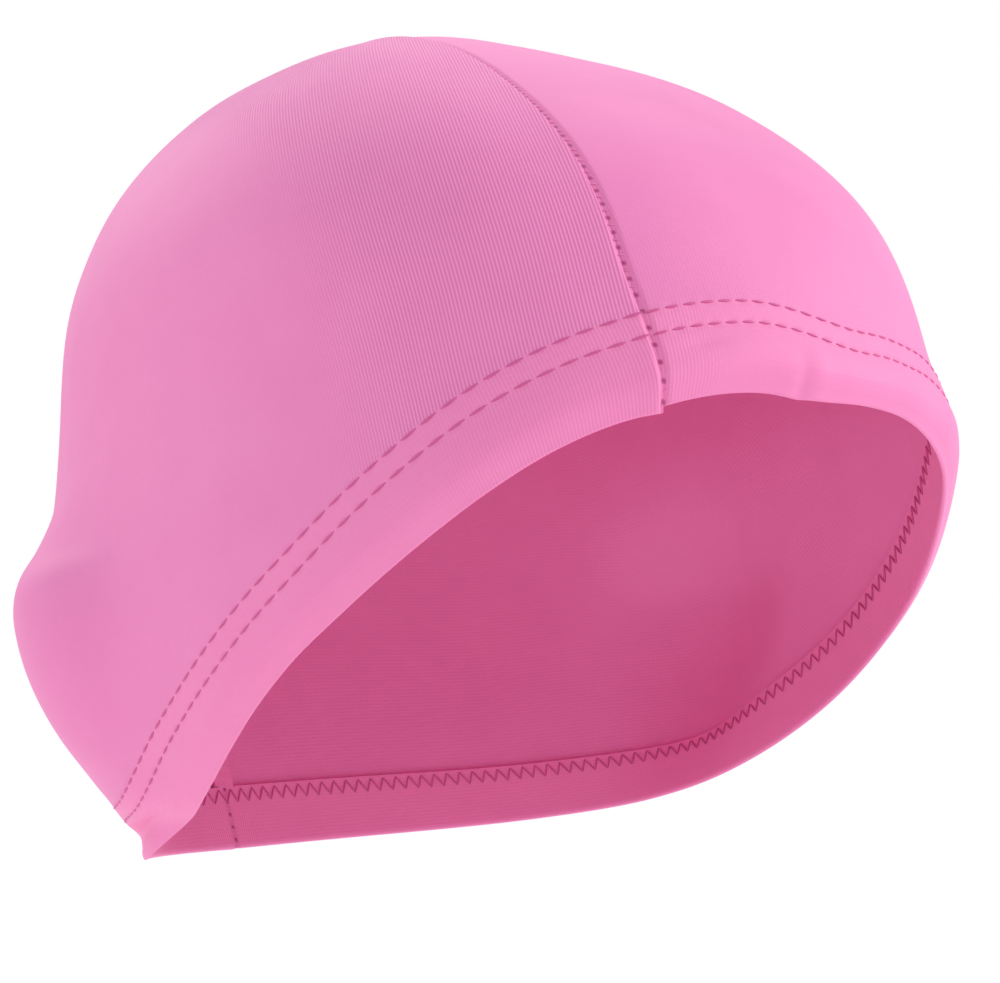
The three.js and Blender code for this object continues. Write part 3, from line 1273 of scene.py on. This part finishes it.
@dataclass
class TwinNeedleRows:
    """The two rows of needle thread outside the hem and the looper thread across them inside."""

    form: WornForm
    cloth: SideCloth
    sewing: HemSewing
    seam: SeamSewing = SeamSewing()
    over_ridge: float = 0.35
    looper_short: float = 0.4
    thick: float = 0.42
    sunk: float = 0.08

    def build(self, material: bpy.types.Material) -> bpy.types.Object:
        """Build every stitch of one side as one mesh.

        Args:
            material: The thread.

        Returns:
            The stitches.
        """
        stitches = Stitches(self.thick)
        count = round(self.cloth.hem_length / self.sewing.pitch)
        middles = (np.arange(count) + 0.5) * self.sewing.pitch
        half = (self.sewing.pitch - self.sewing.stitch_gap) / 2.0
        for row in (self.sewing.upper, self.sewing.lower):
            starts, ends = (self.outside(middles + sign * half, row) for sign in (-1.0, 1.0))
            for start, end in zip(starts, ends):
                stitches.add(start, end)
        self.add_looper(stitches, middles)
        return stitches.finish(f"hem_stitching_{self.cloth.side.label}", material)

    def on_form(self, along: Values, height: Values) -> tuple[Values, Values]:
        """Find places on the form and how far its soft spots stand out there.

        Args:
            along: Lengths along the hem.
            height: Lengths up from the edge.

        Returns:
            One place and one height for each length.
        """
        around = self.cloth.around_at(np.clip(along, 0.0, self.cloth.hem_length))
        down = self.cloth.down_at(around, height)
        points = self.form.place(self.cloth.side, self.cloth.shift, around, down)
        return points, sum(spot.at(along, height) for spot in SPOTS[self.cloth.side])

    def outside(self, along: Values, row: float) -> Values:
        """Place the thread on the outside.

        Args:
            along: Lengths along the hem.
            row: The row's length up from the edge.

        Returns:
            One place for each length.
        """
        height = np.full(along.shape, row)
        points, spots = self.on_form(along, height)
        groove = self.sewing.groove(np.full(along.shape, self.sewing.pitch / 2.0), height)
        gap = np.minimum(along, self.cloth.hem_length - along)
        joined = self.seam.relief(self.cloth.side, np.maximum(gap, self.seam.lip_at))
        joined = joined + self.over_ridge * np.maximum(joined, 0.0)
        out = self.sewing.strip - groove + spots + joined + self.thick / 2.0 - self.sunk
        return points + self.form.normal(points) * out[..., None]

    def inside(self, along: Values, row: Values) -> Values:
        """Place the thread on the inside.

        Args:
            along: Lengths along the hem.
            row: Lengths up from the edge.

        Returns:
            One place for each length.
        """
        points, spots = self.on_form(along, row)
        out = spots - self.form.hem_thickness - self.thick / 2.0 + self.sunk
        return points + self.form.normal(points) * out[..., None]

    def add_looper(self, stitches: Stitches, middles: Values) -> None:
        """Add the looper thread, which crosses between the rows inside.

        Args:
            stitches: The threads so far.
            middles: The middle of each stitch along the hem.
        """
        low = np.full(middles.shape, self.sewing.lower)
        high = np.full(middles.shape, self.sewing.upper - self.looper_short)
        half = self.sewing.pitch / 2.0
        first, second, third = (
            self.inside(middles - half, low),
            self.inside(middles, high),
            self.inside(middles + half, low),
        )
        for start, top, end in zip(first, second, third):
            stitches.add(start, top)
            stitches.add(top, end)


@dataclass
class CrownSeam:
    """The seam's allowance inside the cap and the ladder of thread that joins the panels."""

    form: WornForm
    cloth: SideCloth
    seam: SeamSewing
    width: float = 5.0
    thickness: float = 1.2
    steps: int = 220
    lanes: int = 8
    thread: float = 0.3
    ladder: float = 1.3
    ladder_up: float = 0.1
    whip: float = 2.2
    whip_start: float = 0.25
    whip_reach: float = 0.12
    whip_over: float = 0.02
    whip_edge: float = 0.5
    arch: float = 0.25
    ripple: float = 0.06
    ripples: float = 60.0
    raised: float = 0.2

    def row(self, end: SeamEnd, shift: Values, share: Values, depth: Values | float) -> Values:
        """Place points along one half of the seam.

        Args:
            end: The half of the seam.
            shift: The distance across the seam, to the wearer's left.
            share: The share of the turn from the pole to the hem.
            depth: The depth under the outer face.

        Returns:
            One place for each share.
        """
        around = np.full(share.shape, end.value)
        down = np.interp(around, self.cloth.turns_round, self.cloth.hem_turns) * share
        points = self.form.place(Side.LEFT, shift, around, down)
        depth = np.broadcast_to(depth, share.shape)
        return points - self.form.normal(points) * depth[..., None]

    def build_allowance(self, material: bpy.types.Material) -> bpy.types.Object:
        """Build the strip of cloth that lies open inside the seam.

        Args:
            material: The knit.

        Returns:
            The strip.
        """
        lanes = np.linspace(-0.5, 0.5, self.lanes + 1) * self.width
        shares = np.linspace(-1.0, 1.0, 2 * self.steps + 1)
        shift, share = np.meshgrid(lanes, shares)
        front = self.row(SeamEnd.FRONT, shift, np.abs(share), 0.0)
        nape = self.row(SeamEnd.NAPE, shift, np.abs(share), 0.0)
        points = np.where((share < 0.0)[..., None], front, nape)
        arching = self.arch * np.cos(math.pi * shift / self.width)
        lying = arching + self.ripple * np.cos(2.0 * math.pi * share * self.ripples)
        depth = self.form.cloth + self.form.clearance + lying - self.raised
        places = points - self.form.normal(points) * depth[..., None]
        flat = np.stack([shift, share * self.form.crown_height * 2.0], axis=-1)
        far = np.stack([np.full(shift.shape, self.width), flat[..., 1]], axis=-1)
        shape = cloth_grid(places, {KNIT_MAP: flat, SEAM_MAP: far})
        turn_outwards(shape, self.form.girth)
        bmesh.ops.solidify(shape, geom=shape.faces, thickness=self.thickness * MM)
        piece = new_piece("seam_allowance", shape, material)
        piece.data.set_sharp_from_angle(angle=SHARP)
        return piece

    def build_thread(self, material: bpy.types.Material) -> bpy.types.Object:
        """Build the ladder outside and the overlocked edges inside.

        Args:
            material: The thread.

        Returns:
            The thread.
        """
        stitches = Stitches(self.thread, segments=5, rings=5)
        for end in SeamEnd:
            top = float(np.interp(end.value, self.cloth.turns_round, self.cloth.hem_turns))
            reach = top * self.form.crown_height
            self.add_ladder(stitches, end, reach)
            self.add_overlock(stitches, end, reach)
        return stitches.finish("seam_stitching", material)

    def add_ladder(self, stitches: Stitches, end: SeamEnd, reach: float) -> None:
        """Add the short threads that cross the seam outside.

        Args:
            stitches: The threads so far.
            end: The half of the seam.
            reach: The length of the half.
        """
        count = int((reach + self.form.hem_depth) / self.seam.pitch)
        share = (np.arange(count) + 0.5) * self.seam.pitch / reach
        starts, ends = (
            self.row(end, np.full(share.shape, half * self.ladder), share, self.seam.dip - self.ladder_up)
            for half in (-0.5, 0.5)
        )
        for start, stop in zip(starts, ends):
            stitches.add(start, stop)

    def add_overlock(self, stitches: Stitches, end: SeamEnd, reach: float) -> None:
        """Add the threads that bind both edges of the allowance inside.

        Args:
            stitches: The threads so far.
            end: The half of the seam.
            reach: The length of the half.
        """
        count = int(reach / self.whip)
        share = (np.arange(count) + self.whip_start) * self.whip / reach
        depth = self.form.cloth + self.form.clearance + self.thickness
        for sign in (-1.0, 1.0):
            onward = np.minimum(share + 0.5 * self.whip / reach, 1.0)
            rim = np.full(share.shape, sign * 0.5 * self.width)
            within = np.full(share.shape, sign * self.whip_reach * self.width)
            edge = self.row(end, rim, share, depth - self.whip_edge)
            inner = self.row(end, within, share, depth + self.whip_over)
            again = self.row(end, rim, onward, depth - self.whip_edge)
            for start, middle, stop in zip(edge, inner, again):
                stitches.add(start, middle)
                stitches.add(middle, stop)


@dataclass
class SwimCap:
    """The whole cap."""

    form: WornForm = WornForm()
    pitches: tuple[tuple[Side, float], ...] = ((Side.RIGHT, 4.0), (Side.LEFT, 3.2))
    seam: SeamSewing = SeamSewing()
    stretch: float = 1.25
    flats: tuple[tuple[Side, tuple[float, float]], ...] = (
        (Side.RIGHT, (0.14, 0.21)),
        (Side.LEFT, (0.20, 0.225)),
    )
    # The strip is 6 mm wide when it lies flat, as its area says. A declared width starts at 10 mm.
    allowance_flat: tuple[float, float] = (0.012, 0.27)
    allowance_area: float = 0.0016
    pieces: list[bpy.types.Object] = field(default_factory=list)

    def build(self) -> None:
        """Build every piece, hide the imported solids that it stands in for and log it."""
        pole = tuple(self.form.place(Side.LEFT, 0.0, 0.0, 0.0).tolist())
        # Each holds the knit's colour, its valley colour painted as shade in the rib valleys, and the crown's
        # point.
        panel_color, hem_color = ("ff97c9", "e87bb3", pole), ("ff98c8", "f27eb4", pole)
        knits = {
            Side.RIGHT: KnitFinish("warp_knit_nylon_right", *panel_color).make(),
            Side.LEFT: KnitFinish("warp_knit_nylon_left", *panel_color, tight=0.18, plain=0.12).make(),
        }
        hem_way = {"skew": math.radians(-5.0), "low_skew": 0.0}
        hem_knits = {
            Side.RIGHT: KnitFinish(
                "warp_knit_nylon_hem_right", *hem_color, ribs_from=18.0, ribs_to=34.0, tight=0.55, **hem_way
            ).make(),
            Side.LEFT: KnitFinish(
                "warp_knit_nylon_hem_left", *hem_color, ribs_from=5.0, ribs_to=12.0, tight=0.4, **hem_way
            ).make(),
        }
        thread = ThreadFinish().make()
        cloths = {side: SideCloth(self.form, side) for side in Side}
        for side, pitch in self.pitches:
            cloth = cloths[side]
            sewing = HemSewing(pitch=cloth.hem_length / round(cloth.hem_length / pitch))
            panel = CrownPanel(self.form, cloth, sewing, self.seam).build(knits[side])
            hem = TurnedHem(self.form, cloth, sewing, self.seam).build(hem_knits[side])
            rows = TwinNeedleRows(self.form, cloth, sewing).build(thread)
            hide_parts(f"crown_panel_{side.label}")
            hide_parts(f"hem_{side.label}")
            self.settle(panel)
            self.settle(hem)
            self.settle(rows)
        seam = CrownSeam(self.form, cloths[Side.LEFT], self.seam)
        allowance = seam.build_allowance(hem_knits[Side.LEFT])
        pale = ThreadFinish("spun_polyester_thread_pale", color="e070ac", light="ee8cc0").make()
        ladder = seam.build_thread(pale)
        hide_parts("crown_seam")
        self.settle(allowance)
        self.settle(ladder)

    def settle(self, piece: bpy.types.Object) -> None:
        """Ride a piece on the part's one body and report it.

        Args:
            piece: The piece.
        """
        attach(piece, ROOT)
        self.pieces.append(piece)
        LOG.info("%s: %d faces", piece.name, len(piece.data.polygons))


@dataclass(frozen=True)
class Lamp:
    """A large soft box far off, so that it lights the cap and the floor alike.

    Its turn is measured from the camera's direction to the camera's right, and its share is its
    light beside that of a white sky.
    """

    name: str
    turn: float
    climb: float
    share: float
    color: str = "ffffff"
    spread: float = math.radians(32.0)


@dataclass
class Studio:
    """A pale floor, soft light and the camera at the photograph's angle."""

    yaw: float = math.radians(-34.69)
    pitch: float = math.radians(-4.64)
    roll: float = math.radians(-2.19)
    distance: float = 401.4
    target: tuple[float, float, float] = (1.81, -7.65, -91.79)
    lens: float = 71.48
    sensor: float = 36.0
    floor_level: float = -0.30
    floor_reach: float = 14.0
    near_limit: float = 0.01
    sky: float = 0.66
    sky_color: str = "f3f3ff"
    background: float = 1.0
    lamps: tuple[Lamp, ...] = (
        Lamp("right_light", math.radians(90.0), math.radians(24.0), 0.53),
        Lamp("back_light", math.radians(180.0), math.radians(60.0), 0.16),
        Lamp("back_left_light", math.radians(-130.0), math.radians(38.0), 0.21),
        Lamp("left_light", math.radians(-90.0), math.radians(20.0), 0.09),
    )

    def build(self) -> None:
        """Build the floor, the light and the camera."""
        self.add_floor()
        self.add_sky()
        for lamp in self.lamps:
            self.add_lamp(lamp)
        self.add_camera()

    def add_floor(self) -> None:
        """Add the floor under the cap."""
        shape = bmesh.new()
        bmesh.ops.create_circle(shape, cap_ends=True, segments=96, radius=self.floor_reach)
        bmesh.ops.translate(shape, verts=shape.verts, vec=(0.0, 0.0, self.floor_level))
        floor = new_piece("floor", shape, FloorFinish().make())

    def add_sky(self) -> None:
        """Light the scene evenly from all round and show colours as they are."""
        view = bpy.context.scene.view_settings
        view.view_transform = "Standard"
        view.look = "None"
        world = bpy.data.worlds.new("white_room")
        world.use_nodes = True
        tree = world.node_tree
        sky = tree.nodes["Background"]
        sky.inputs["Color"].default_value = linear(self.sky_color)
        sky.inputs["Strength"].default_value = self.sky
        seen = add_node(tree, "ShaderNodeBackground", {0: linear("ffffff"), 1: self.background})
        ray = add_node(tree, "ShaderNodeLightPath")
        shown = {0: ray.outputs[0], 1: sky.outputs[0], 2: seen.outputs[0]}
        mixed = add_node(tree, "ShaderNodeMixShader", shown)
        tree.links.new(mixed.outputs[0], tree.nodes["World Output"].inputs[0])
        bpy.context.scene.world = world

    def add_lamp(self, lamp: Lamp) -> None:
        """Add a soft box.

        Args:
            lamp: The soft box.
        """
        light = bpy.data.lights.new(lamp.name, "SUN")
        light.angle = lamp.spread
        light.energy = math.pi * lamp.share
        light.color = linear(lamp.color)[:3]
        toward = Vector((math.sin(self.yaw), -math.cos(self.yaw), 0.0)) * math.cos(lamp.turn)
        beside = Vector((math.cos(self.yaw), math.sin(self.yaw), 0.0)) * math.sin(lamp.turn)
        way = (toward + beside) * math.cos(lamp.climb) + Vector((0.0, 0.0, math.sin(lamp.climb)))
        holder = bpy.data.objects.new(lamp.name, light)
        holder.matrix_world = (-way).to_track_quat("-Z", "Y").to_matrix().to_4x4()
        bpy.context.collection.objects.link(holder)

    def add_camera(self) -> None:
        """Add the camera at the photograph's angle."""
        cos_up = math.cos(self.pitch)
        back = Vector((math.sin(self.yaw) * cos_up, -math.cos(self.yaw) * cos_up, math.sin(self.pitch)))
        level = Vector((math.cos(self.yaw), math.sin(self.yaw), 0.0))
        upright = back.cross(level)
        right = level * math.cos(self.roll) + upright * math.sin(self.roll)
        up = upright * math.cos(self.roll) - level * math.sin(self.roll)
        lens = bpy.data.cameras.new("camera")
        lens.lens = self.lens
        lens.sensor_width = self.sensor
        lens.clip_start = self.near_limit
        camera = bpy.data.objects.new("camera", lens)
        place = (Vector(self.target) + back * self.distance) * MM
        camera.matrix_world = Matrix.Translation(place) @ Matrix((right, up, back)).transposed().to_4x4()
        bpy.context.collection.objects.link(camera)
        bpy.context.scene.camera = camera


def main() -> None:
    """Build the cap and its studio."""
    logging.basicConfig(level=logging.INFO, format="%(name)s %(message)s")
    SwimCap().build()
    Studio().build()


if __name__ == "__main__":
    main()
